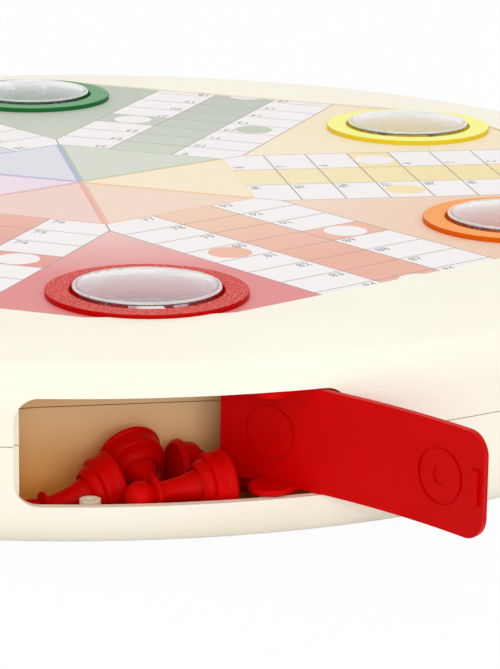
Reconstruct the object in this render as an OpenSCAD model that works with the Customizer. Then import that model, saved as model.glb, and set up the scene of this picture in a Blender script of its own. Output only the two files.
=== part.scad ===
// Round ludo game case for six players.
// A two-part plastic shell carries the hexagonal board on top. Each player's side has a
// push-dome dice popper in the board and a compartment for four pawns in the rim, closed
// by a curved door on upright pivot pins.
// Frame: +Z up, origin on the table at the centre. The red player sits at -Y, and the
// other sides follow counter-clockwise every sixty degrees.

/* [Case] */
// Height of the rim above the table
case_h = 50; // [49:0.5:56]
// Thickness of the shell walls, floor and deck
shell_t = 2.4; // [2:0.1:2.8]
// Height of the top shell, from the seam to the rim
top_h = 22.5; // [20:0.5:25]
// Open seam that is left between the shells
seam_gap = 0.25; // [0.15:0.05:0.4]
// Rounding between base and side wall
base_round = 11; // [8:0.5:11]
// Rounding between side wall and top
shoulder_round = 12; // [8:0.5:13]
// Width of the rim that falls away to the shoulder
fall_w = 38; // [30:1:40]
// Radius of the soft bend where the rim begins to fall
crown_round = 120; // [80:5:140]
// Slope of the rim beyond that bend, in degrees
crown_slope = 9; // [6:0.5:10]

/* [Board] */
// Distance from the centre to the rounded corners of the board
card_reach = 164; // [160:0.5:180]
// Distance by which the board's flat sides lie further in than its corners
card_flat_in = 13; // [11:0.5:16]
// Thickness of the board
card_t = 0.9; // [0.6:0.1:1.2]
// Depth of the board below the rim
rim_lip = 0.5; // [0.3:0.1:0.8]
// Gap around the board in its recess
card_gap = 0.3; // [0.2:0.05:0.5]

/* [Compartments] */
// Inside width of a compartment
bay_w = 88; // [86:0.5:92]
// Depth of a compartment from the case's edge to its back wall
bay_deep = 38; // [37:0.5:44]
// Distance between the board's corners and the compartments' back walls
bay_out = 4; // [3:0.5:8]
// Rounding of the back corners
bay_corner = 10; // [6:0.5:12]
// Width of the mouth in the side wall
mouth_w = 85.2; // [82:0.2:86]
// Height of the mouth's lower edge
mouth_z = 12.1; // [11.5:0.1:14]
// Distance between the mouth's upper edge and the rim's height
mouth_in = 10; // [9:0.1:12]
// Rounding of the mouth's corners
mouth_corner = 6.3; // [4:0.1:8]

/* [Doors] */
// Thickness of a door panel
door_t = 1.8; // [1.4:0.1:2.2]
// Gap above and below a door in its mouth
door_gap = 0.3; // [0.2:0.05:0.5]
// Gap at each end of a door, so that its short arm can swing through
door_end_gap = 1.2; // [1:0.1:2]
// Distance of the pivot from the middle of the door
pivot_x = 23; // [21:0.5:26]
// Distance of the pivot behind the door's inner face
pivot_in = 4.9; // [4.5:0.1:5.5]
// Radius of the pivot pins
pin_r = 1.4; // [1.2:0.05:1.6]
// Running clearance around a pin, measured on the radius
pin_play = 0.05; // [0.02:0.01:0.1]
// Length of a pivot pin
pin_len = 3.6; // [3:0.1:4]
// Outer radius of the posts that carry the pins
post_r = 2.7; // [2.4:0.1:3.2]
// Gap between a door's lug and the post below or above it
post_gap = 0.3; // [0.2:0.05:0.5]
// Half of the width of a pivot lug
lug_r = 5.5; // [4.5:0.1:6]
// Thickness of a pivot lug
lug_t = 1.5; // [1.2:0.1:2]
// Angle at which the red door stands open
red_open = 130; // [0:1:132]
// Radius of the round moulding marks inside a door
mark_r = 7.5; // [6:0.1:8.5]
// Distance of those marks from the ends of the door
mark_in = 14.6; // [12:0.1:16]
// Depth of the moulding marks
mark_d = 0.35; // [0.2:0.05:0.5]

/* [Dice poppers] */
// Distance of a popper's axis from the board's corner
popper_in = 24.5; // [24:0.5:32]
// Outer radius of the coloured bezel
bezel_r = 27.5; // [26:0.1:28]
// Radius of the hole in the bezel
bezel_bore = 20.95; // [20.9:0.05:21.5]
// Height of the bezel above the board
bezel_h = 1.5; // [1:0.1:2]
// Wall of the bezel's skirt
skirt_t = 1.75; // [1.5:0.05:2]
// Radius of the clear dome
dome_r = 20.2; // [19.5:0.05:20.3]
// Wall of the clear dome
dome_t = 1.5; // [1.2:0.1:1.8]
// Height of the dome's crown above the bezel
dome_rise = 3.6; // [3.4:0.1:4]
// Travel of the dome when it is pressed
stroke = 3; // [2:0.1:3.4]
// Depth of the dice tray's floor below the board
tray_depth = 20; // [19:0.1:21]
// Wall of the tray and of the well
cup_t = 2; // [1.6:0.1:2.2]
// Gap between the moving tray and the well
slide_gap = 0.6; // [0.4:0.05:0.8]
// Gap between parts that are seated on each other
seat_gap = 0.3; // [0.2:0.05:0.4]
// Radius of the spring disc
disc_r = 15; // [13:0.5:18]
// Height that is left of the spring disc when it is pressed flat
disc_flat = 0.8; // [0.6:0.1:1]
// Thickness of the spring disc
disc_t = 0.5; // [0.4:0.05:0.6]
// Radius of the pedestal below a popper
pedestal_r = 12; // [9:0.5:18]
// Edge of a die
die_s = 12; // [10:0.5:13]

/* [Pawns] */
// Radius of a pawn's foot
pawn_r = 9; // [8:0.1:9.2]
// Height of a pawn
pawn_h = 28; // [26:0.5:28]
// Radius of a pawn's head
head_r = 4; // [3.6:0.1:4.2]

/* [Screws] */
// Distance of the outer screws from the case's edge
outer_screw_in = 18; // [14:1:26]
// Distance of the inner screws from the poppers' circle
inner_screw_in = 47; // [25:1:55]
// Radius of a screw's thread
screw_r = 1.5; // [1.2:0.05:1.8]
// Radius of a screw's head
screw_head_r = 3.2; // [2.8:0.1:3.6]
// Length of a screw below its head
screw_len = 20; // [16:1:24]
// Thickness of the boss between a screw's head and the seam
screw_bed = 12; // [10:0.5:14]
// Outer radius of a screw boss
boss_r = 5.2; // [5:0.1:6.5]

/* [Hidden] */
$fn = 96;
BITE = 0.02;
COLOURS = ["red", "orange", "yellow", "green", "blue", "purple"];
SIDES = len(COLOURS);
RED_PAWNS = 4;

CREAM = [0.97, 0.94, 0.86];
CARD_WHITE = [0.95, 0.93, 0.92];
STEEL = [0.62, 0.63, 0.65];
DIE_WHITE = [0.96, 0.96, 0.94];
CLEAR = [0.9, 0.92, 0.93, 0.35];
PAINTS = [[0.78, 0.03, 0.02], [0.94, 0.42, 0.04], [0.98, 0.84, 0.2],
          [0.08, 0.46, 0.2], [0.1, 0.26, 0.66], [0.42, 0.16, 0.5]];

card_apothem = card_reach - card_flat_in;
popper_at = card_reach - popper_in;
bay_back = card_reach + bay_out;
case_r = bay_back + bay_deep;
crown_r = case_r - fall_w;
outer_screw_at = case_r - outer_screw_in;
inner_screw_at = popper_at - inner_screw_in;

seam_z = case_h - top_h;
mouth_h = case_h - mouth_in - mouth_z;
card_top = case_h - rim_lip;
deck_top = card_top - card_t;
deck_bottom = deck_top - shell_t;
seam_top = seam_z + seam_gap;
mouth_mid = mouth_z + mouth_h / 2;
door_z = mouth_z + door_gap;
door_h = mouth_h - 2 * door_gap;
door_half = mouth_w / 2 - door_end_gap;
door_corner = mouth_corner - door_gap;
door_in_r = case_r - door_t;
pivot_r = door_in_r - pivot_in;
pivot_y = -sqrt(pivot_r * pivot_r - pivot_x * pivot_x);
post_bottom = door_z - post_gap;
post_top = door_z + door_h + post_gap;
bore_r = pin_r + pin_play;
bore_deep = pin_len + 0.3;

skirt_r = bezel_bore + skirt_t;
well_in = skirt_r + seat_gap;
well_out = well_in + cup_t;
skirt_h = 6.3;
skirt_z = card_top - skirt_h;
flange_t = 1.5;
flange_top = skirt_z - seat_gap;
flange_z = flange_top - flange_t;
tray_r = well_in - slide_gap;
tray_floor = card_top - tray_depth;
tray_z = tray_floor - cup_t;
disc_gap = 0.2;
disc_foot_gap = 0.05;
disc_bow = stroke + disc_flat;
disc_z = tray_z - disc_gap - disc_bow;
well_floor = disc_z - disc_foot_gap;
well_z = well_floor - cup_t;
dome_top = card_top + bezel_h + dome_rise;

screw_head_z = seam_z - screw_bed;
screw_head_t = 2.2;
screw_gap = 0.1;

// Points along an arc, from angle a0 to a1 about the centre c
function arc(c, r, a0, a1, n = 12) =
    [for (i = [0:n]) let (a = a0 + (a1 - a0) * i / n) [c[0] + r * cos(a), c[1] + r * sin(a)]];

// Puts its children at side i, where side 0 is the red one at -Y
module at_side(i) {
    rotate(360 / SIDES * i) children();
}

// Puts its children on the axis of the popper at side i
module at_popper(i) {
    at_side(i) translate([0, -popper_at, 0]) children();
}

// Flat rectangle with round corners, centred
module rounded_rect(w, h, r) {
    square([w - 2 * r, h], center = true);
    square([w, h - 2 * r], center = true);
    for (x = [-1, 1], y = [-1, 1])
        translate([x * (w / 2 - r), y * (h / 2 - r)]) circle(r);
}

// Ring between two radii
module ring(outer, inner, h) {
    difference() {
        cylinder(r = outer, h = h);
        translate([0, 0, -1]) cylinder(r = inner, h = h + 2);
    }
}

// Outline of a compartment seen from above, grown by a wall
module bay_plan(grow = 0) {
    half = bay_w / 2 + grow;
    back = bay_back - grow;
    r = bay_corner + grow;
    translate([-half, -case_r]) square([2 * half, case_r - back - r]);
    translate([-half + r, -case_r]) square([2 * (half - r), case_r - back]);
    for (s = [-1, 1]) translate([s * (half - r), -back - r]) circle(r);
}

// Back and side walls of the compartment, between two heights
module bay_wall(z0, z1) {
    translate([0, 0, z0]) linear_extrude(z1 - z0) difference() {
        bay_plan(shell_t);
        bay_plan();
    }
}

// Space through the side wall at the compartment's mouth
module mouth_cut() {
    translate([0, -case_r - 1, mouth_mid])
        rotate([-90, 0, 0])
            linear_extrude(case_r - bay_back - bay_corner)
                rounded_rect(mouth_w, mouth_h, mouth_corner);
}

// Tubes for a door's pin, at the pivot and at the mirrored spare place
module posts(z0, z1) {
    for (x = [-pivot_x, pivot_x])
        translate([x, pivot_y, z0]) cylinder(r = post_r, h = z1 - z0);
}

// Bores of those tubes
module post_bores(z0, z1) {
    for (x = [-pivot_x, pivot_x])
        translate([x, pivot_y, z0]) cylinder(r = bore_r, h = z1 - z0);
}

// Places of the screws that hold the shells together, between the players' sides
module at_screws() {
    for (i = [0:SIDES - 1], d = [outer_screw_at, inner_screw_at])
        rotate(360 / SIDES * i) translate([d, 0, 0]) children();
}

// Outline of the base and lower side wall
function base_points(inset) =
    let (r = base_round - inset)
    concat([[0, inset]],
           arc([case_r - base_round, base_round], r, -90, 0),
           [[case_r - inset, seam_z], [0, seam_z]]);

// Outline of the upper side wall, shoulder and top
function top_points(inset) =
    let (bend = [crown_r, case_h - crown_round],
         bend_end = bend + crown_round * [sin(crown_slope), cos(crown_slope)],
         shoulder_x = case_r - shoulder_round,
         touch_x = shoulder_x + shoulder_round * sin(crown_slope),
         touch_z = bend_end[1] - (touch_x - bend_end[0]) * tan(crown_slope),
         shoulder = [shoulder_x, touch_z - shoulder_round * cos(crown_slope)])
    concat([[0, seam_top], [case_r - inset, seam_top]],
           arc(shoulder, shoulder_round - inset, 0, 90 - crown_slope),
           arc(bend, crown_round - inset, 90 - crown_slope, 90, 4),
           [[0, case_h - inset]]);

module bottom_shell() {
    lip_gap = 0.3;
    lip_t = 1.2;
    lip_h = 2.5;
    lip_r = case_r - shell_t - lip_gap;
    color(CREAM) difference() {
        union() {
            difference() {
                rotate_extrude() polygon(base_points(0));
                difference() {
                    rotate_extrude() polygon(base_points(shell_t));
                    translate([0, 0, -1]) cylinder(r = case_r, h = 1 + shell_t);
                }
                translate([0, 0, seam_z - BITE]) cylinder(r = case_r - shell_t, h = 1);
            }
            // Lip inside the side wall that the top shell slips over
            difference() {
                union() {
                    translate([0, 0, seam_z - 2 * lip_h])
                        ring(lip_r + lip_gap + BITE, lip_r - lip_t, 2 * lip_h);
                    translate([0, 0, seam_z - BITE]) ring(lip_r, lip_r - lip_t, lip_h);
                }
                for (i = [0:SIDES - 1]) at_side(i)
                    linear_extrude(case_h) bay_plan(shell_t + lip_gap);
            }
            intersection() {
                rotate_extrude() polygon(base_points(shell_t / 2));
                for (i = [0:SIDES - 1]) at_side(i) {
                    bay_wall(shell_t - BITE, seam_z);
                    posts(shell_t - BITE, post_bottom);
                }
            }
            for (i = [0:SIDES - 1]) at_popper(i) translate([0, 0, shell_t - BITE])
                ring(pedestal_r, pedestal_r - shell_t, well_z - shell_t + BITE);
            at_screws() translate([0, 0, shell_t - BITE])
                cylinder(r = boss_r, h = seam_z - shell_t + BITE);
        }
        for (i = [0:SIDES - 1]) at_side(i) {
            mouth_cut();
            post_bores(door_z - bore_deep, post_bottom + 1);
        }
        at_screws() {
            translate([0, 0, -1]) cylinder(r = screw_head_r + screw_gap * 2, h = screw_head_z + 1);
            cylinder(r = screw_r + screw_gap, h = seam_z + 1);
        }
    }
}

module top_shell() {
    color(CREAM) difference() {
        union() {
            difference() {
                rotate_extrude() polygon(top_points(0));
                intersection() {
                    rotate_extrude() polygon(top_points(shell_t));
                    cylinder(r = case_r, h = deck_bottom);
                }
                translate([0, 0, seam_top - 1]) cylinder(r = case_r - shell_t, h = 1 + BITE);
            }
            intersection() {
                rotate_extrude() polygon(top_points(shell_t / 2));
                for (i = [0:SIDES - 1]) at_side(i) {
                    bay_wall(seam_top, deck_bottom + BITE);
                    posts(post_top, deck_bottom + BITE);
                }
            }
            at_screws() translate([0, 0, seam_z])
                cylinder(r = boss_r, h = deck_bottom - seam_z + BITE);
        }
        translate([0, 0, deck_top]) board_outline(card_gap);
        for (i = [0:SIDES - 1]) at_side(i) {
            mouth_cut();
            post_bores(post_top - 1, door_z + door_h + bore_deep);
            translate([0, -popper_at, 0]) cylinder(r = skirt_r + seat_gap, h = case_h + 1);
            translate([0, -popper_at, card_top]) cylinder(r = bezel_r + seat_gap, h = case_h);
        }
        at_screws() translate([0, 0, seam_z - 1])
            cylinder(r = screw_r + pin_play, h = screw_len + screw_head_z - seam_z + 2);
    }
}

// Hexagon with rounded corners, tall enough to cut the recess
module board_outline(grow, h = case_h) {
    intersection() {
        rotate(30) cylinder(r = (card_apothem + grow) / cos(30), h = h, $fn = 6);
        cylinder(r = card_reach + grow, h = h);
    }
}

module board() {
    color(CARD_WHITE) difference() {
        translate([0, 0, deck_top]) board_outline(0, card_t);
        for (i = [0:SIDES - 1]) at_popper(i)
            cylinder(r = skirt_r + 2 * seat_gap, h = case_h + 1);
    }
}

// Self-tapping screws from below, with a cross slot in the head
module shell_screws() {
    slot_w = 0.8;
    slot_d = 1.2;
    color(STEEL) at_screws() translate([0, 0, screw_head_z]) {
        difference() {
            translate([0, 0, -screw_head_t]) cylinder(r = screw_head_r, h = screw_head_t);
            for (a = [0, 90]) rotate(a)
                translate([-screw_head_r * 0.7, -slot_w / 2, -screw_head_t - 1])
                    cube([screw_head_r * 1.4, slot_w, slot_d + 1]);
        }
        cylinder(r = screw_r, h = screw_len);
    }
}

// Coloured ring on the board, with a skirt that guides the dome
module bezel(i) {
    edge = 0.3;
    color(PAINTS[i]) at_popper(i) rotate_extrude() polygon(concat(
        [[bezel_bore, skirt_z], [skirt_r, skirt_z], [skirt_r, card_top], [bezel_r, card_top]],
        arc([bezel_r - edge, card_top + bezel_h - edge], edge, 0, 90, 4),
        arc([bezel_bore + edge, card_top + bezel_h - edge], edge, 90, 180, 4)));
}

// Clear shell that is pressed to roll the die. Its flange stays below the bezel's skirt
module dome(i) {
    edge = 0.8;
    cap_rise = 2.4;
    tab_w = 11;
    tab_at = 17;
    tab_t = (bezel_bore - dome_r) / 2;
    tab_h = 2.5;
    cap_z = dome_top - cap_rise;
    cap_half = dome_r - edge * 0.3;
    cap_r = (cap_half * cap_half + cap_rise * cap_rise) / (2 * cap_rise);
    cap_a = asin(cap_half / cap_r);
    inner_a = asin((cap_half - dome_t) / (cap_r - dome_t));
    color(CLEAR) at_popper(i) {
        rotate_extrude() polygon(concat(
            [[dome_r - dome_t, flange_z], [tray_r, flange_z], [tray_r, flange_top],
             [dome_r, flange_top], [dome_r, cap_z - edge * 0.5]],
            arc([0, dome_top - cap_r], cap_r, 90 - cap_a, 90, 10),
            arc([0, dome_top - cap_r], cap_r - dome_t, 90, 90 - inner_a, 10)));
        for (s = [-1, 1]) translate([0, 0, cap_z - tab_h - edge])
            rotate(-90 + s * tab_at - tab_w / 2)
                rotate_extrude(angle = tab_w)
                    translate([dome_r - dome_t / 2, 0]) square([dome_t / 2 + tab_t, tab_h]);
    }
}

// Cup with the rolling floor. It hangs on the dome's flange and moves with it
module tray(i) {
    fillet = 1.5;
    inner = tray_r - cup_t;
    color(PAINTS[i]) at_popper(i) rotate_extrude() polygon(concat(
        [[0, tray_z], [tray_r - fillet, tray_z], [tray_r, tray_z + fillet],
         [tray_r, flange_z], [inner, flange_z]],
        arc([inner - fillet, tray_floor + fillet], fillet, 0, -90, 4),
        [[0, tray_floor]]));
}

// Pips of one face, on a square grid with the given pitch
function pips(n, p) = concat(
    n % 2 == 1 ? [[0, 0]] : [],
    n > 1 ? [[-p, -p], [p, p]] : [],
    n > 3 ? [[-p, p], [p, -p]] : [],
    n == 6 ? [[-p, 0], [p, 0]] : []);

// Die with rounded corners and hollow pips, opposite faces adding up to seven
module die(i) {
    half = die_s / 2;
    pip_r = die_s * 0.09;
    pip_sink = pip_r * 0.45;
    turns = [[0, 0, 0], [90, 0, 0], [0, 90, 0], [0, -90, 0], [-90, 0, 0], [180, 0, 0]];
    color(DIE_WHITE) at_popper(i)
        translate([2.5, 4 - i * 0.6, tray_floor + half]) rotate(17 + 41 * i)
            difference() {
                intersection() {
                    cube(die_s, center = true);
                    sphere(r = die_s * 0.74);
                }
                for (f = [0:5]) rotate(turns[f])
                    for (p = pips(f + 1, die_s * 0.25))
                        translate([p[0], p[1], half + pip_r - pip_sink]) sphere(r = pip_r, $fn = 24);
            }
}

// Bowed steel disc below the tray that snaps flat when the dome is pressed
module spring_disc(i) {
    r = (disc_r * disc_r + disc_bow * disc_bow) / (2 * disc_bow);
    z = disc_z + disc_bow - r;
    color(STEEL) at_popper(i) rotate_extrude() polygon(concat(
        arc([0, z], r, asin((disc_z - z) / r), 90, 16),
        arc([0, z], r - disc_t, 90, asin((disc_z - z) / (r - disc_t)), 16)));
}

// Fixed cup below the deck in which tray and dome slide
module well(i) {
    color(PAINTS[i]) at_popper(i) difference() {
        translate([0, 0, well_z]) cylinder(r = well_out, h = deck_bottom - well_z);
        translate([0, 0, well_floor]) cylinder(r = well_in, h = deck_bottom);
    }
}

// Radial prism through a door, centred where the mark sits on its inner face
module at_mark(x) {
    rotate(asin(x / door_in_r)) translate([0, -door_in_r, mouth_mid])
        rotate([90, 0, 0]) children();
}

// Curved panel in the side wall's own radius, with a lug and pin above and below
module door_shape() {
    bead_w = 2.4;
    bead_h = 9;
    bead_t = 0.8;
    bead_in = 1.6;
    gate_r = 2.5;
    mark_w = 0.8;
    difference() {
        union() {
            intersection() {
                translate([0, 0, door_z]) ring(case_r, door_in_r, door_h);
                translate([0, -case_r - 1, mouth_mid]) rotate([-90, 0, 0])
                    linear_extrude(case_r - bay_back)
                        rounded_rect(2 * door_half, door_h, door_corner);
            }
            // Bead near the free end that clicks behind the jamb
            intersection() {
                translate([0, 0, mouth_mid - bead_h / 2])
                    ring(door_in_r + BITE, door_in_r - bead_t, bead_h);
                translate([-door_half + bead_in, -case_r, 0]) cube([bead_w, case_r - bay_back, case_h]);
            }
            for (z = [door_z, door_z + door_h - lug_t]) translate([0, 0, z]) {
                translate([pivot_x, pivot_y, 0]) cylinder(r = lug_r, h = lug_t);
                intersection() {
                    translate([pivot_x - lug_r, -case_r, 0])
                        cube([2 * lug_r, case_r + pivot_y, lug_t]);
                    cylinder(r = door_in_r + door_t / 2, h = lug_t);
                }
            }
            translate([pivot_x, pivot_y, door_z - pin_len]) cylinder(r = pin_r, h = pin_len + BITE);
            translate([pivot_x, pivot_y, door_z + door_h - BITE]) cylinder(r = pin_r, h = pin_len + BITE);
        }
        for (x = [-door_half + mark_in, door_half - mark_in]) at_mark(x)
            translate([0, 0, -2]) {
                ring(mark_r, mark_r - mark_w, 2 + mark_d);
                cylinder(r = gate_r, h = 2 + mark_d);
            }
    }
}

// Door at side i, turned about its pins by its opening angle
module door(i, open = 0) {
    color(PAINTS[i]) at_side(i)
        translate([pivot_x, pivot_y, 0]) rotate(open) translate([-pivot_x, -pivot_y, 0]) door_shape();
}

// Thickness of a pawn's foot rim
foot_t = 2.6;

// Turned pawn that stands on the origin: stepped foot, bell, neck, collar and ball head
module pawn_shape() {
    step_r = pawn_r - 0.7;
    step_t = 3.4;
    bell_r = pawn_r - 2.2;
    bell_h = 3.2;
    neck_r = head_r - 1.1;
    collar_r = head_r + 0.7;
    collar_t = 1.2;
    head_z = pawn_h - head_r;
    collar_z = head_z - head_r - 0.7;
    bell_z = foot_t + step_t;
    rotate_extrude($fn = 64) polygon(concat(
        [[0, 0.6], [pawn_r - 1.6, 0.6], [pawn_r - 1.2, 0]],
        arc([pawn_r - foot_t / 2 + 0.5, foot_t / 2], foot_t / 2 - 0.5, -60, 60, 5),
        [[step_r, foot_t + 0.2]],
        arc([step_r - 0.9, bell_z - 0.9], 0.9, 0, 80, 4),
        arc([bell_r - bell_h, bell_z + 0.2], bell_h, 0, 60, 5),
        arc([neck_r + 26, collar_z - 1.4], 26, 203, 180, 8),
        [[neck_r, collar_z - 0.3]],
        arc([collar_r - collar_t / 2, collar_z + collar_t / 2], collar_t / 2, -90, 90, 5),
        arc([0, head_z], head_r, -asin(0.75), 90, 12)));
}

// Angle at which a pawn lies on foot rim and head, and the height of its foot's centre then
rest_run = pawn_h - head_r - foot_t / 2;
lie_tilt = acos(head_r / norm([pawn_r, rest_run])) - atan(rest_run / pawn_r);
lie_z = shell_t + seat_gap + pawn_r * cos(lie_tilt) + foot_t / 2 * sin(lie_tilt);

// Pawn whose foot's centre is at p, with its head towards the given heading
module pawn_at(p, heading, drop) {
    translate(p) rotate(heading) rotate([0, 90 + drop, 0]) pawn_shape();
}

// Pawns of the open red compartment, as they lie in a heap: place of the foot's centre from
// the middle of the back wall at the floor, heading of the head and its drop
red_heap = [
    [[-14.65, -18.1, 9.67], 196.6, 12.2],
    [[-10.16, -4.24, 13.7], 288.5, 23.2],
    [[0.78, -10.96, 9.32], 12.8, 7.3],
    [[12.73, -25.28, 11.12], 194.2, 2.2]];

module red_pawn(n) {
    lies = red_heap[n];
    color(PAINTS[0]) translate([0, -bay_back, shell_t]) pawn_at(lies[0], lies[1], lies[2]);
}

// Four pawns side by side behind a closed door, heads to the door
module pawn_row(i) {
    pitch = 20;
    color(PAINTS[i]) at_side(i) for (x = [-1.5:1:1.5])
        pawn_at([x * pitch, -bay_back - seat_gap - pawn_r * sin(lie_tilt), lie_z], -90, lie_tilt);
}

bottom_shell();
top_shell();
board();
shell_screws();
for (i = [0:SIDES - 1]) {
    bezel(i);
    dome(i);
    tray(i);
    die(i);
    spring_disc(i);
    well(i);
    door(i, i == 0 ? red_open : 0);
}
for (n = [1:RED_PAWNS])
    red_pawn(n - 1);
for (i = [1:SIDES - 1])
    pawn_row(i);
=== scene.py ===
"""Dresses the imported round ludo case: printed board with its numbers, grained rings, clear push domes,
moulded plastics, and the studio. Lengths are metres, and the frame is the CAD model's own."""
import math

import bpy
import bmesh
from mathutils import Matrix, Quaternion, Vector
from mathutils.geometry import delaunay_2d_cdt


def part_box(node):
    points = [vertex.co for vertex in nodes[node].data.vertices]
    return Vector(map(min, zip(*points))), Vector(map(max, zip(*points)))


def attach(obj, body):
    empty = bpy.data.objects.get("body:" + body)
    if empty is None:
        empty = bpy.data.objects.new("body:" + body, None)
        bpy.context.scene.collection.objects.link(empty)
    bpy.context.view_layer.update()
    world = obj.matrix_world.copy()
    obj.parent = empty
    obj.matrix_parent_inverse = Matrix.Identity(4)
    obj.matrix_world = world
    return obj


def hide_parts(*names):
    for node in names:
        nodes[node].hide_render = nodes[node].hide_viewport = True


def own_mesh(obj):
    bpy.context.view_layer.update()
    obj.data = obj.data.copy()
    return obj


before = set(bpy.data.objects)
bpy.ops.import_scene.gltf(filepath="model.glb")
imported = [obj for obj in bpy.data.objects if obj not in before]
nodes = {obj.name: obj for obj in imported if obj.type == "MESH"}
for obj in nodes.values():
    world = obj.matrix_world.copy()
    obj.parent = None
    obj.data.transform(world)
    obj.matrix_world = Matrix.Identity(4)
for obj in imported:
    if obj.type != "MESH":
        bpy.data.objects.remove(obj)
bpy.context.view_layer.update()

MM = 0.001
CELL = 22.0 * MM
COLOURS = ["red", "orange", "yellow", "green", "blue", "purple"]
HOME_AXES = [-90, -30, 30, 90, 150, 210]
ARM_AXES = [-120, -60, 0, 60, 120, 180]
CARD_TOP = 49.5 * MM
CARD_T = 0.9 * MM
POPPER_AT = 139.5 * MM
DISC_R = 15 * MM
DISC_T = 0.5 * MM

# The shells' inner faces, which take the painted cavity shade: the wall's radius, then the round shoulder and
# base, each by centre radius, squared arc radius and height
WALL_IN = 0.2037
SHOULDER_AT, SHOULDER_R2, SHOULDER_Z = 0.194, 0.000144, 0.03443
BASE_AT, BASE_R2, BASE_Z = 0.195, 0.000121, 0.0122

# The hinge posts, mostly left out of the painted cavity shade: turn from the side's middle as a share of sixty
# degrees, half width, radius and half depth
POST_TURN, POST_HALF_TURN, POST_R, POST_HALF = 0.1105, 0.0152, 0.1993, 0.0029

# Zones of a dome by distance from its axis and by height
RIM_FROM, TABS_FROM, WALL_FROM, WALL_TOP = 19.5 * MM, 20.22 * MM, 18.6 * MM, 51.75 * MM


def rgb(r, g, b):
    def channel(v):
        v = v / 255
        return v / 12.92 if v <= 0.04045 else ((v + 0.055) / 1.055) ** 2.4
    return (channel(r), channel(g), channel(b), 1.0)


class Nodes:
    """Small helper around one material's node tree."""

    def __init__(self, name):
        self.mat = bpy.data.materials.new(name)
        self.mat.use_nodes = True
        self.tree = self.mat.node_tree
        self.bsdf = self.tree.nodes["Principled BSDF"]
        self.where = self.add("ShaderNodeTexCoord").outputs["Object"]

    def add(self, kind, **inputs):
        node = self.tree.nodes.new(kind)
        for key, value in inputs.items():
            self.set(node, key.replace("_", " "), value)
        return node

    def set(self, node, key, value):
        socket = node.inputs[int(key)] if key.isdigit() else node.inputs[key]
        if isinstance(value, bpy.types.NodeSocket):
            self.tree.links.new(value, socket)
        else:
            socket.default_value = value

    def math(self, op, a, b=0.0, clamp=False):
        node = self.tree.nodes.new("ShaderNodeMath")
        node.operation = op
        node.use_clamp = clamp
        self.set(node, "0", a)
        self.set(node, "1", b)
        return node.outputs[0]

    def noise(self, scale, detail=2.0, rough=0.5):
        node = self.add("ShaderNodeTexNoise", Vector=self.where, Scale=scale, Detail=detail, Roughness=rough)
        return node.outputs["Fac"]

    def ramp(self, value, stops):
        node = self.add("ShaderNodeValToRGB", Fac=value)
        ramp = node.color_ramp
        while len(ramp.elements) < len(stops):
            ramp.elements.new(0.5)
        for element, (at, colour) in zip(ramp.elements, stops):
            element.position = at
            element.color = colour
        return node.outputs["Color"]

    def mix(self, fac, a, b, blend="MIX"):
        node = self.tree.nodes.new("ShaderNodeMix")
        node.data_type = "RGBA"
        node.blend_type = blend
        for index, value in ((0, fac), (6, a), (7, b)):
            self.set(node, str(index), value)
        return node.outputs[2]

    def bump(self, height, distance, strength=1.0, normal=None):
        node = self.add("ShaderNodeBump", Height=height, Distance=distance, Strength=strength)
        if normal is not None:
            self.set(node, "Normal", normal)
        return node.outputs["Normal"]

    def radius(self):
        """Distance from the case's axis."""
        parts = self.add("ShaderNodeSeparateXYZ", Vector=self.where)
        xx = self.math("MULTIPLY", parts.outputs["X"], parts.outputs["X"])
        yy = self.math("MULTIPLY", parts.outputs["Y"], parts.outputs["Y"])
        return self.math("SQRT", self.math("ADD", xx, yy)), parts.outputs["Z"]

    def side_turn(self):
        """Turn from the middle of the nearest player's side, as a share of sixty degrees."""
        parts = self.add("ShaderNodeSeparateXYZ", Vector=self.where)
        turn = self.math("ARCTAN2", parts.outputs["Y"], parts.outputs["X"])
        share = self.math("ADD", self.math("MULTIPLY", turn, 3 / math.pi), 8.0)
        return self.math("ABSOLUTE", self.math("SUBTRACT", self.math("FRACT", share), 0.5))

    def finish(self, **sockets):
        for key, value in sockets.items():
            self.set(self.bsdf, key.replace("_", " "), value)
        return self.mat


def scaled(colour, k):
    return tuple(min(1.0, c * k) for c in colour[:3]) + (1.0,)


def lighter(colour, k):
    return tuple(c + (1 - c) * k for c in colour[:3]) + (1.0,)


def moulded(name, colour, roughness=0.32, specular=0.35, grain=0.02):
    """Moulded plastic: slight colour drift, a fine skin and shallow flow unevenness."""
    n = Nodes(name)
    drift = n.noise(38, 3)
    base = n.ramp(drift, [(0.3, scaled(colour, 0.93)), (0.7, scaled(colour, 1.05))])
    skin = n.bump(n.noise(2600, 3, 0.6), grain * MM)
    flow = n.bump(n.noise(120, 2), 0.06 * MM, 1.0, skin)
    rough = n.math("ADD", n.math("MULTIPLY", n.noise(300, 2), 0.12), roughness - 0.06)
    return n.finish(Base_Color=base, Roughness=rough, Specular_IOR_Level=specular, Normal=flow)


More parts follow.
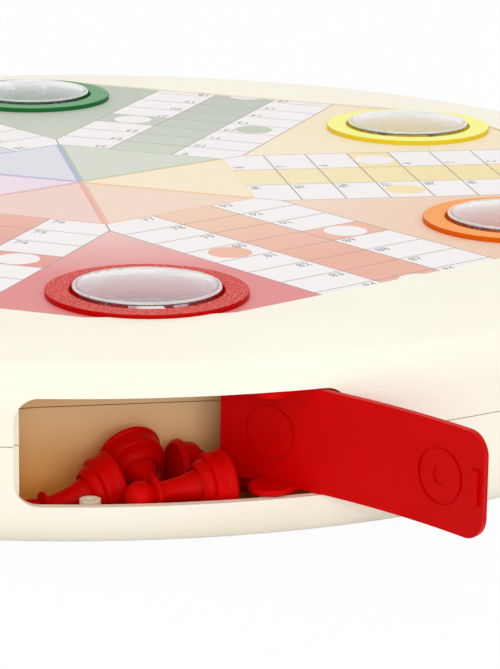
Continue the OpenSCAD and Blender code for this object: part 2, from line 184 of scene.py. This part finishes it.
def cream_plastic():
    """Cream shell plastic, with painted shade and warm bounced light on the inner faces that little light
    reaches: tan there, and deeper orange tan towards their bottom.
    """
    n = Nodes("cream_plastic")
    r, z = n.radius()
    top = n.math("MAXIMUM", n.math("SUBTRACT", r, SHOULDER_AT), 0.0)
    top = n.math("SUBTRACT", SHOULDER_R2, n.math("MULTIPLY", top, top))
    top = n.math("ADD", n.math("SQRT", n.math("MAXIMUM", top, 0.0)), SHOULDER_Z)
    foot = n.math("MAXIMUM", n.math("SUBTRACT", r, BASE_AT), 0.0)
    foot = n.math("SUBTRACT", BASE_R2, n.math("MULTIPLY", foot, foot))
    foot = n.math("SUBTRACT", BASE_Z, n.math("SQRT", n.math("MAXIMUM", foot, 0.0)))
    # Mask of the cavities' inner faces that take the painted shade; the hinge posts are mostly left out
    inner = n.math("MULTIPLY", n.math("LESS_THAN", r, WALL_IN), n.math("LESS_THAN", z, top))
    inner = n.math("MULTIPLY", inner, n.math("GREATER_THAN", z, foot))
    aside = n.math("ABSOLUTE", n.math("SUBTRACT", n.side_turn(), POST_TURN))
    deep = n.math("ABSOLUTE", n.math("SUBTRACT", r, POST_R))
    post = n.math("MULTIPLY", n.math("LESS_THAN", aside, POST_HALF_TURN), n.math("LESS_THAN", deep, POST_HALF))
    inner = n.math("MULTIPLY", inner, n.math("SUBTRACT", 1.0, n.math("MULTIPLY", post, 0.85)))
    drift = n.noise(14, 3)
    outside = n.ramp(drift, [(0.3, rgb(247, 241, 222)), (0.7, rgb(252, 248, 232))])
    # Painted shade and bounced light on the inner faces: pale tan high up, deeper orange tan towards the
    # bottom
    painted_shade_top = n.ramp(n.noise(22, 3), [(0.3, rgb(247, 213, 158)), (0.7, rgb(250, 223, 172))])
    depth = n.math("DIVIDE", n.math("SUBTRACT", 27 * MM, z), 22 * MM, clamp=True)
    painted_shade = n.mix(depth, painted_shade_top, rgb(248, 188, 98))
    base = n.mix(inner, outside, painted_shade)
    skin = n.bump(n.noise(1500, 3, 0.6), 0.02 * MM)
    flow = n.bump(n.noise(60, 2), 0.1 * MM, 1.0, skin)
    rough = n.math("ADD", n.math("MULTIPLY", n.noise(240, 2), 0.14), 0.36)
    return n.finish(Base_Color=base, Roughness=rough, Specular_IOR_Level=0.3, Normal=flow)


def ring_plastic(name, top, side, grain):
    """Ring of a popper: eroded sparkle grain on the flat top, smooth wall."""
    n = Nodes(name)
    normal = n.add("ShaderNodeNewGeometry").outputs["True Normal"]
    facing = n.add("ShaderNodeSeparateXYZ", Vector=normal).outputs["Z"]
    flat = n.math("GREATER_THAN", facing, 0.9)
    speck = n.add("ShaderNodeTexVoronoi", Vector=n.where, Scale=1500.0).outputs["Distance"]
    mottle = n.math("MULTIPLY", n.noise(1400, 3, 0.7), 0.7)
    tone = n.ramp(n.math("ADD", mottle, n.math("MULTIPLY", speck, 0.5)),
                  [(0.46, scaled(top, 1 - 0.36 * grain)), (0.63, top), (0.86, lighter(top, 0.22 * grain))])
    base = n.mix(flat, side, tone)
    relief = n.bump(n.noise(1300, 3, 0.7), n.math("MULTIPLY", flat, 0.2 * grain * MM))
    rough = n.math("ADD", n.math("MULTIPLY", flat, 0.35), 0.4)
    gloss = n.math("ADD", n.math("MULTIPLY", flat, 0.12), 0.05)
    return n.finish(Base_Color=base, Roughness=rough, Specular_IOR_Level=gloss, Normal=relief)


def clear_plastic():
    """Clear plastic of the domes: faintly milky, a white that is partly a painted reflection of the white
    studio; frosty and whiter on the rim and tabs, whose white is also a painted highlight; even on the side
    wall.
    """
    n = Nodes("clear_plastic")
    r, z = n.radius()
    turn = n.math("MULTIPLY", n.side_turn(), math.pi / 3)
    along = n.math("SUBTRACT", n.math("MULTIPLY", r, n.math("COSINE", turn)), POPPER_AT)
    across = n.math("MULTIPLY", r, n.math("SINE", turn))
    out = n.math("SQRT", n.math("ADD", n.math("MULTIPLY", along, along), n.math("MULTIPLY", across, across)))
    high = n.math("GREATER_THAN", z, WALL_TOP)
    rim = n.math("MULTIPLY", n.math("GREATER_THAN", out, RIM_FROM), high)
    frost_and_highlight = n.math("MAXIMUM", rim, n.math("GREATER_THAN", out, TABS_FROM))
    wall = n.math("MULTIPLY", n.math("GREATER_THAN", out, WALL_FROM), n.math("SUBTRACT", 1.0, high))
    haze = n.math("ADD", n.math("MULTIPLY", n.noise(90, 3), 0.05), n.math("MULTIPLY", frost_and_highlight, 0.25))
    tint = n.ramp(n.noise(60, 2), [(0.35, (0.97, 0.975, 0.97, 1)), (0.7, (1, 1, 1, 1))])
    # Transmission below one lets the white base show: a faint milk that is partly painted reflection, and on
    # the rim and tabs half white as a painted highlight
    through = n.math("ADD", 0.96, n.math("MULTIPLY", wall, 0.04))
    through = n.math("SUBTRACT", through, n.math("MULTIPLY", frost_and_highlight, 0.5), True)
    bend = n.math("SUBTRACT", 1.49, n.math("MULTIPLY", wall, 0.46))
    wave = n.bump(n.noise(70, 2), 0.05 * MM)
    sheen = n.math("MULTIPLY", n.math("SUBTRACT", 1.0, wall), 0.7)
    return n.finish(Base_Color=tint, Roughness=haze, Transmission_Weight=through, IOR=bend, Normal=wave,
                    Coat_Weight=sheen, Coat_Roughness=0.03)


def steel():
    n = Nodes("steel")
    base = n.ramp(n.noise(500, 3), [(0.3, (0.5, 0.5, 0.51, 1)), (0.7, (0.66, 0.66, 0.67, 1))])
    rough = n.math("ADD", n.math("MULTIPLY", n.noise(900, 2), 0.2), 0.25)
    return n.finish(Base_Color=base, Roughness=rough, Metallic=1.0)


def print_ink(name, inner, outer, r0=60.0, r1=130.0):
    """Printed card: ink that fades towards the centre of the board, with paper tooth under the varnish."""
    n = Nodes(name)
    r, _ = n.radius()
    along = n.math("DIVIDE", n.math("SUBTRACT", r, r0 * MM), (r1 - r0) * MM, clamp=True)
    ink = n.ramp(along, [(0.0, inner), (1.0, outer)])
    base = n.mix(n.math("MULTIPLY", n.noise(1100, 3, 0.6), 0.16), ink, scaled(outer, 0.86))
    tooth = n.bump(n.noise(900, 3, 0.6), 0.012 * MM)
    rough = n.math("ADD", n.math("MULTIPLY", n.noise(200, 2), 0.1), 0.4)
    return n.finish(Base_Color=base, Roughness=rough, Specular_IOR_Level=0.3, Normal=tooth)


PAINT = {
    "red": rgb(206, 3, 1), "orange": rgb(238, 104, 8), "yellow": rgb(251, 222, 50),
    "green": rgb(40, 118, 60), "blue": rgb(44, 76, 168), "purple": rgb(120, 56, 140),
}
RING_TOP = {
    "red": rgb(221, 80, 72), "orange": rgb(254, 168, 96), "yellow": rgb(255, 253, 152),
    "green": rgb(120, 168, 126), "blue": rgb(112, 132, 200), "purple": rgb(168, 118, 186),
}

cream = cream_plastic()
clear = clear_plastic()
metal = steel()
white_die = moulded("die_plastic", rgb(246, 245, 240), 0.25)
paint = {c: moulded(c + "_plastic", PAINT[c], 0.38, 0.05 if c == "red" else 0.2) for c in COLOURS}
rings = {c: ring_plastic(c + "_ring", RING_TOP[c], scaled(PAINT[c], 0.85), 1.0 if c == "red" else 0.25)
         for c in COLOURS}


def dress(node, material):
    mesh = nodes[node].data
    mesh.materials.clear()
    mesh.materials.append(material)


for c in COLOURS:
    dress(c + "_bezel", rings[c])
    dress(c + "_dome", clear)
    dress(c + "_tray", paint[c])
    dress(c + "_die", white_die)
    dress(c + "_well", paint[c])
    dress(c + "_door", paint[c])
    if c != "red":
        dress(c + "_pawns", paint[c])
    # Lets light into the well through the clear dome
    nodes[c + "_dome"].visible_shadow = False
for k in range(4):
    dress("red_pawn_%d" % (k + 1), paint["red"])
dress("bottom_shell", cream)
dress("top_shell", cream)
dress("shell_screws", metal)


# Sizes of the print, in cell widths
ROW = 0.63
ROWS = 8
GOAL = 2.27
CORNER = GOAL / math.cos(math.radians(30))
HOME_TIP = 3.0
EDGE = 151 / 22
ROUND = 164 / 22
HALF_ARM = 1.5
LINE = 0.011
BAND = 0.05
SAFE_R = 0.29
HOLE_R = 23.6 / 22
POPPER = POPPER_AT / CELL


def polar(angle, along, across=0.0):
    a = math.radians(angle)
    return (along * math.cos(a) - across * math.sin(a), along * math.sin(a) + across * math.cos(a))


def arm_frame(p, arm):
    a = math.radians(ARM_AXES[arm])
    return p[0] * math.cos(a) + p[1] * math.sin(a), -p[0] * math.sin(a) + p[1] * math.cos(a)


def card_outline():
    """Corners of the hexagonal card, with arcs at the homes' ends."""
    points = []
    half = math.degrees(math.acos(EDGE / ROUND))
    for axis in ARM_AXES:
        for k in range(13):
            points.append((axis, -half + 2 * half * k / 12))
    ring = []
    for axis, offset in points:
        r = EDGE / math.cos(math.radians(offset))
        ring.append(polar(axis + offset, r))
        if abs(offset - half) < 1e-6:
            for k in range(1, 8):
                ring.append(polar(axis + half + (60 - 2 * half) * k / 8, ROUND))
    return ring


def circle(centre, radius, count):
    return [(centre[0] + radius * math.cos(2 * math.pi * k / count),
             centre[1] + radius * math.sin(2 * math.pi * k / count)) for k in range(count)]


def safe_spots():
    """Centres of the safe circles: one in each column, one in the end cell."""
    spots = []
    for arm in range(6):
        spots.append((arm, "out", polar(ARM_AXES[arm], GOAL + 3.5 * ROW, -1.0)))
        spots.append((arm, "in", polar(ARM_AXES[arm], GOAL + 3.5 * ROW, 1.0)))
        spots.append((arm, "end", polar(ARM_AXES[arm], GOAL + 7.5 * ROW, 0.0)))
    return spots


SPOTS = safe_spots()


def print_zone(x, y):
    """Name of the ink at a point of the board, or None off the card. Units are cell widths."""
    r = math.hypot(x, y)
    for i, axis in enumerate(HOME_AXES):
        px, py = polar(axis, POPPER)
        if math.hypot(x - px, y - py) < HOLE_R:
            return None
    if r > ROUND or any(arm_frame((x, y), k)[0] > EDGE for k in range(6)):
        return None
    arm = max(range(6), key=lambda k: arm_frame((x, y), k)[0])
    t, s = arm_frame((x, y), arm)
    side = min(t - arm_frame((x, y), (arm + d) % 6)[0] for d in (1, -1))
    colour = COLOURS[arm]
    if t < GOAL:
        if side < BAND:
            return colour + "_deep"
        if t > GOAL - BAND * 0.8:
            return colour + "_rim"
        return colour + "_goal"
    if abs(s) > HALF_ARM:
        home = arm if s > 0 else (arm - 1) % 6
        # The home sector lies beyond the arm's side line
        return "line" if abs(s) < HALF_ARM + LINE and t > GOAL else COLOURS[home] + "_home"
    if side < LINE and r < HOME_TIP:
        return "line"
    row = (t - GOAL) / ROW
    for a, kind, (cx, cy) in SPOTS:
        if a == arm and math.hypot(x - cx, y - cy) < SAFE_R:
            return colour + "_path" if kind == "out" else "white"
    near_row = abs(row - round(row)) * ROW < LINE and 0 < round(row) < ROWS
    if abs(abs(s) - 0.5) < LINE or abs(abs(s) - HALF_ARM) < LINE or near_row:
        return "line"
    if abs(s) < 0.5:
        return colour + "_path"
    if s > 0 and int(row) == 3:
        return colour + "_path"
    return "white"


def board_mesh():
    """Triangulates the card with every printed border as an edge, so each triangle has one ink."""
    points, edges = [], []

    def loop(ring, closed=True):
        start = len(points)
        points.extend(Vector(p) for p in ring)
        last = len(ring) if closed else len(ring) - 1
        edges.extend((start + k, start + (k + 1) % len(ring)) for k in range(last))

    loop(card_outline())
    for axis in HOME_AXES:
        loop(circle(polar(axis, POPPER), HOLE_R, 48))
    for _, _, centre in SPOTS:
        loop(circle(centre, SAFE_R, 36))
    reach = 8.0
    for arm, axis in enumerate(ARM_AXES):
        for s in (-HALF_ARM, HALF_ARM):
            for off in (-LINE, LINE):
                loop([polar(axis, 2.0, s + off), polar(axis, reach, s + off)], False)
        for s in (-0.5, 0.5):
            for off in (-LINE, LINE):
                loop([polar(axis, GOAL, s + off), polar(axis, reach, s + off)], False)
        for k in range(ROWS):
            for off in ((0,) if k == 0 else (-LINE, LINE)):
                at = GOAL + k * ROW + off
                loop([polar(axis, at, -HALF_ARM - 0.3), polar(axis, at, HALF_ARM + 0.3)], False)
        loop([polar(axis, GOAL - BAND * 0.8, -1.6), polar(axis, GOAL - BAND * 0.8, 1.6)], False)
    for axis in HOME_AXES:
        loop([(0, 0), polar(axis, CORNER)], False)
        for off in (-1, 1):
            loop([polar(axis, 0, off * BAND), polar(axis, CORNER, off * BAND)], False)
            loop([polar(axis, GOAL, off * LINE), polar(axis, HOME_TIP + 0.05, off * LINE)], False)
    verts, _, faces, *_ = delaunay_2d_cdt(points, edges, [], 0, 1e-6)
    return verts, faces


GREY = rgb(168, 150, 142)
WHITE = rgb(247, 242, 241)
INKS = {
    "white": print_ink("ink_white", WHITE, WHITE),
    "line": print_ink("ink_line", GREY, GREY),
}
PALE = {
    "red": [rgb(241, 205, 194), rgb(224, 132, 132), rgb(238, 180, 164), rgb(226, 142, 132)],
    "orange": [rgb(243, 219, 197), rgb(240, 204, 178), rgb(243, 208, 180), rgb(236, 172, 150)],
    "yellow": [rgb(250, 237, 208), rgb(248, 231, 196), rgb(247, 232, 190), rgb(245, 225, 166)],
    "green": [rgb(203, 208, 192), rgb(188, 196, 180), rgb(206, 212, 196), rgb(190, 197, 182)],
    "blue": [rgb(215, 216, 226), rgb(194, 199, 222), rgb(218, 218, 228), rgb(192, 198, 224)],
    "purple": [rgb(232, 214, 226), rgb(216, 190, 214), rgb(234, 216, 228), rgb(214, 188, 214)],
}
GOALS = {
    "red": rgb(241, 209, 198), "orange": rgb(243, 216, 195), "yellow": rgb(251, 234, 205),
    "green": rgb(213, 218, 203), "blue": rgb(222, 222, 230), "purple": rgb(238, 222, 232),
}
DEEP = {
    "red": rgb(236, 172, 160), "orange": rgb(240, 186, 158), "yellow": rgb(250, 222, 150),
    "green": rgb(176, 192, 172), "blue": rgb(168, 176, 216), "purple": rgb(222, 176, 208),
}
for c in COLOURS:
    INKS[c + "_home"] = print_ink("ink_%s_home" % c, PALE[c][0], PALE[c][1], 64, 118)
    INKS[c + "_path"] = print_ink("ink_%s_path" % c, PALE[c][2], PALE[c][3], 50, 120)
    INKS[c + "_goal"] = print_ink("ink_%s_goal" % c, GOALS[c], GOALS[c], 0, 50)
    INKS[c + "_deep"] = print_ink("ink_%s_band" % c, DEEP[c], DEEP[c], 0, 50)
    INKS[c + "_rim"] = INKS[c + "_deep"]


def build_board():
    verts, faces = board_mesh()
    names = list(INKS)
    mesh = bpy.data.meshes.new("printed_board")
    bm = bmesh.new()
    top = [bm.verts.new((v.x * CELL, v.y * CELL, CARD_TOP)) for v in verts]
    for f in faces:
        cx = sum(verts[i].x for i in f) / len(f)
        cy = sum(verts[i].y for i in f) / len(f)
        zone = print_zone(cx, cy)
        if zone is None:
            continue
        face = bm.faces.new([top[i] for i in f])
        face.material_index = names.index(zone)
    loose = [v for v in bm.verts if not v.link_faces]
    bmesh.ops.delete(bm, geom=loose, context="VERTS")
    made = bmesh.ops.extrude_face_region(bm, geom=bm.faces[:], use_keep_orig=True)
    for v in (g for g in made["geom"] if isinstance(g, bmesh.types.BMVert)):
        v.co.z -= CARD_T
    bmesh.ops.recalc_face_normals(bm, faces=bm.faces)
    for f in bm.faces:
        if f.normal.z < 0.5:
            f.material_index = 0
    bm.to_mesh(mesh)
    bm.free()
    for name in names:
        mesh.materials.append(INKS[name])
    piece = bpy.data.objects.new("printed_board", mesh)
    bpy.context.scene.collection.objects.link(piece)
    return piece


board = build_board()
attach(board, "case")
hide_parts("board")


def number_ink():
    n = Nodes("number_ink")
    base = n.ramp(n.noise(1600, 3, 0.6), [(0.3, rgb(112, 108, 108)), (0.7, rgb(140, 134, 132))])
    return n.finish(Base_Color=base, Roughness=0.5)


def cell_number(arm, row, column):
    first = [60, 77, 94, 9, 26, 43][arm]
    value = first + (row if column < 0 else 16 - row if column > 0 else 8)
    return (value - 1) % 102 + 1


def build_numbers():
    parts = []
    size = 4.5 * MM
    for arm, axis in enumerate(ARM_AXES):
        for column in (-1, 1):
            for row in range(ROWS):
                if column > 0 and row == 3:
                    continue
                curve = bpy.data.curves.new("number", "FONT")
                curve.body = str(cell_number(arm, row, column))
                curve.size = size
                curve.align_x = "CENTER"
                curve.align_y = "CENTER"
                curve.extrude = 0.008 * MM
                curve.resolution_u = 3
                obj = bpy.data.objects.new("number", curve)
                x, y = polar(axis, GOAL + (row + 0.2) * ROW, column * 0.68)
                obj.location = (x * CELL, y * CELL, CARD_TOP + 0.012 * MM)
                obj.rotation_euler = (0, 0, math.radians(axis + 90))
                bpy.context.scene.collection.objects.link(obj)
                parts.append(obj)
    bpy.context.view_layer.update()
    bm = bmesh.new()
    graph = bpy.context.evaluated_depsgraph_get()
    for obj in parts:
        mesh = bpy.data.meshes.new_from_object(obj.evaluated_get(graph))
        mesh.transform(obj.matrix_world)
        bm.from_mesh(mesh)
        bpy.data.meshes.remove(mesh)
    for obj in parts:
        bpy.data.objects.remove(obj)
    mesh = bpy.data.meshes.new("printed_numbers")
    bm.to_mesh(mesh)
    bm.free()
    mesh.materials.append(number_ink())
    piece = bpy.data.objects.new("printed_numbers", mesh)
    bpy.context.scene.collection.objects.link(piece)
    return piece


numbers = build_numbers()
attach(numbers, "case")


# The ledges in millimetres: heights of both halves, span along the side, and radii
JAMB_HEIGHTS = ((11.6, 27.5), (27.75, 40.5))
JAMB_SPAN = (-43.2, -41.1)
JAMB_RADII = (203.3, 204.0)


def build_jamb_stops():
    """Ledges at each mouth's left end, in two halves that part at the seam; the doors close on them."""
    mesh = bpy.data.meshes.new("jamb_stops")
    bm = bmesh.new()
    for side in HOME_AXES:
        turn = Matrix.Rotation(math.radians(side + 90), 4, "Z")
        for heights in JAMB_HEIGHTS:
            corners = []
            for x in JAMB_SPAN:
                for r in JAMB_RADII:
                    y = -math.sqrt(r * r - x * x)
                    corners += [bm.verts.new(turn @ Vector((x * MM, y * MM, z * MM))) for z in heights]
            for f in ((0, 1, 3, 2), (4, 6, 7, 5), (0, 4, 5, 1), (2, 3, 7, 6), (0, 2, 6, 4), (1, 5, 7, 3)):
                bm.faces.new([corners[k] for k in f])
    bmesh.ops.recalc_face_normals(bm, faces=bm.faces)
    bm.to_mesh(mesh)
    bm.free()
    mesh.materials.append(ledge)
    piece = bpy.data.objects.new("jamb_stops", mesh)
    bpy.context.scene.collection.objects.link(piece)
    return piece


ledge = moulded("cream_ledge", rgb(248, 242, 222), 0.4, 0.3)
stops = build_jamb_stops()
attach(stops, "case")


def build_spring_disc(colour, axis):
    """Bowed steel disc of a popper, which flattens on the well's floor as the dome above it is pressed."""
    low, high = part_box(colour + "_spring_disc")
    bow = high.z - low.z
    ball = (DISC_R ** 2 + bow ** 2) / (2 * bow)
    rise = ball - bow
    profile = []
    for shell in (ball, ball - DISC_T):
        edge = math.acos(rise / shell)
        arc = [(shell * math.sin(edge * k / 10), shell * math.cos(edge * k / 10) - rise) for k in range(11)]
        profile += arc if shell == ball else arc[::-1]
    x, y = (v * CELL for v in polar(axis, POPPER))
    bm = bmesh.new()
    rings = []
    for out, up in profile:
        ring = circle((x, y), out, 48) if out > 1e-9 else [(x, y)]
        rings.append([bm.verts.new((p[0], p[1], low.z + up)) for p in ring])
    for a, b in zip(rings, rings[1:]):
        for k in range(48):
            corners = [a[k % len(a)], a[(k + 1) % len(a)], b[(k + 1) % len(b)], b[k % len(b)]]
            bm.faces.new(list(dict.fromkeys(corners)))
    bmesh.ops.recalc_face_normals(bm, faces=bm.faces)
    for f in bm.faces:
        f.smooth = True
    mesh = bpy.data.meshes.new(colour + "_snap_disc")
    bm.to_mesh(mesh)
    bm.free()
    mesh.materials.append(metal)
    piece = bpy.data.objects.new(colour + "_snap_disc", mesh)
    bpy.context.scene.collection.objects.link(piece)
    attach(piece, "case")
    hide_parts(colour + "_spring_disc")
    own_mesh(piece)


for c, home in zip(COLOURS, HOME_AXES):
    build_spring_disc(c, home)


def studio_surface(name, share, albedo):
    """White surface that keeps soft shadows, and that the camera, gloss and clear parts see as white."""
    mat = bpy.data.materials.new(name)
    mat.use_nodes = True
    tree = mat.node_tree
    tree.nodes.clear()
    out = tree.nodes.new("ShaderNodeOutputMaterial")
    mix = tree.nodes.new("ShaderNodeMixShader")
    diffuse = tree.nodes.new("ShaderNodeBsdfDiffuse")
    diffuse.inputs["Color"].default_value = (albedo, albedo, albedo, 1)
    glow = tree.nodes.new("ShaderNodeEmission")
    path = tree.nodes.new("ShaderNodeLightPath")
    seen = tree.nodes.new("ShaderNodeMath")
    seen.operation = "MAXIMUM"
    tree.links.new(path.outputs["Is Camera Ray"], seen.inputs[0])
    also = tree.nodes.new("ShaderNodeMath")
    also.operation = "MAXIMUM"
    tree.links.new(path.outputs["Is Glossy Ray"], also.inputs[0])
    tree.links.new(path.outputs["Is Transmission Ray"], also.inputs[1])
    tree.links.new(also.outputs[0], seen.inputs[1])
    part = tree.nodes.new("ShaderNodeMath")
    part.operation = "MULTIPLY"
    tree.links.new(seen.outputs[0], part.inputs[0])
    part.inputs[1].default_value = share
    tree.links.new(part.outputs[0], mix.inputs[0])
    tree.links.new(diffuse.outputs[0], mix.inputs[1])
    tree.links.new(glow.outputs[0], mix.inputs[2])
    tree.links.new(mix.outputs[0], out.inputs["Surface"])
    return mat


def build_floor():
    mesh = bpy.data.meshes.new("studio_floor")
    s = 6.0
    mesh.from_pydata([(-s, -s, 0), (s, -s, 0), (s, s, 0), (-s, s, 0)], [], [(0, 1, 2, 3)])
    mesh.materials.append(studio_surface("studio_white", 0.95, 0.94))
    floor = bpy.data.objects.new("studio_floor", mesh)
    bpy.context.scene.collection.objects.link(floor)


build_floor()

world = bpy.data.worlds.new("studio")
bpy.context.scene.world = world
world.use_nodes = True
wt = world.node_tree
back = wt.nodes["Background"]
path = wt.nodes.new("ShaderNodeLightPath")
seen = wt.nodes.new("ShaderNodeMath")
seen.operation = "MAXIMUM"
wt.links.new(path.outputs["Is Camera Ray"], seen.inputs[0])
wt.links.new(path.outputs["Is Glossy Ray"], seen.inputs[1])
level = wt.nodes.new("ShaderNodeMapRange")
wt.links.new(seen.outputs[0], level.inputs["Value"])
level.inputs["To Min"].default_value = 0.62
level.inputs["To Max"].default_value = 1.0
wt.links.new(level.outputs["Result"], back.inputs["Strength"])
back.inputs["Color"].default_value = (1, 1, 1, 1)


def softbox(name, at, aim, size, power):
    light = bpy.data.lights.new(name, "AREA")
    light.shape = "RECTANGLE"
    light.size, light.size_y = size
    light.energy = power
    obj = bpy.data.objects.new(name, light)
    obj.location = at
    obj.rotation_euler = (Vector(aim) - Vector(at)).to_track_quat("-Z", "Y").to_euler()
    bpy.context.scene.collection.objects.link(obj)


softbox("key", (-0.9, -1.1, 1.5), (0, -0.1, 0), (1.2, 1.0), 4.6)
softbox("front", (0.1, -1.7, 0.45), (0, -0.15, 0.02), (0.9, 0.5), 6.2)
softbox("fill", (1.3, -0.7, 1.0), (0, -0.1, 0), (1.0, 1.0), 1.2)
softbox("top", (0.1, 0.5, 1.9), (0, 0, 0), (1.6, 1.2), 9.5)

AZ, EL, ROLL = math.radians(-10.54), math.radians(15.36), math.radians(0.82)
back_dir = Vector((math.sin(AZ) * math.cos(EL), -math.cos(AZ) * math.cos(EL), math.sin(EL)))
aim = Vector((0.0196, -0.1833, 0.0495))
eye = aim + back_dir * 0.7724
cam_data = bpy.data.cameras.new("camera")
cam_data.sensor_fit = "VERTICAL"
cam_data.sensor_height = 36
cam_data.lens = 162.8
cam_data.shift_x = 0.0024
cam_data.clip_start = 0.01
camera = bpy.data.objects.new("camera", cam_data)
camera.location = eye
view = (-back_dir).to_track_quat("-Z", "Y")
camera.rotation_mode = "QUATERNION"
camera.rotation_quaternion = view @ Quaternion((0, 0, 1), ROLL)
bpy.context.scene.collection.objects.link(camera)
bpy.context.scene.camera = camera
bpy.context.scene.view_settings.view_transform = "Standard"
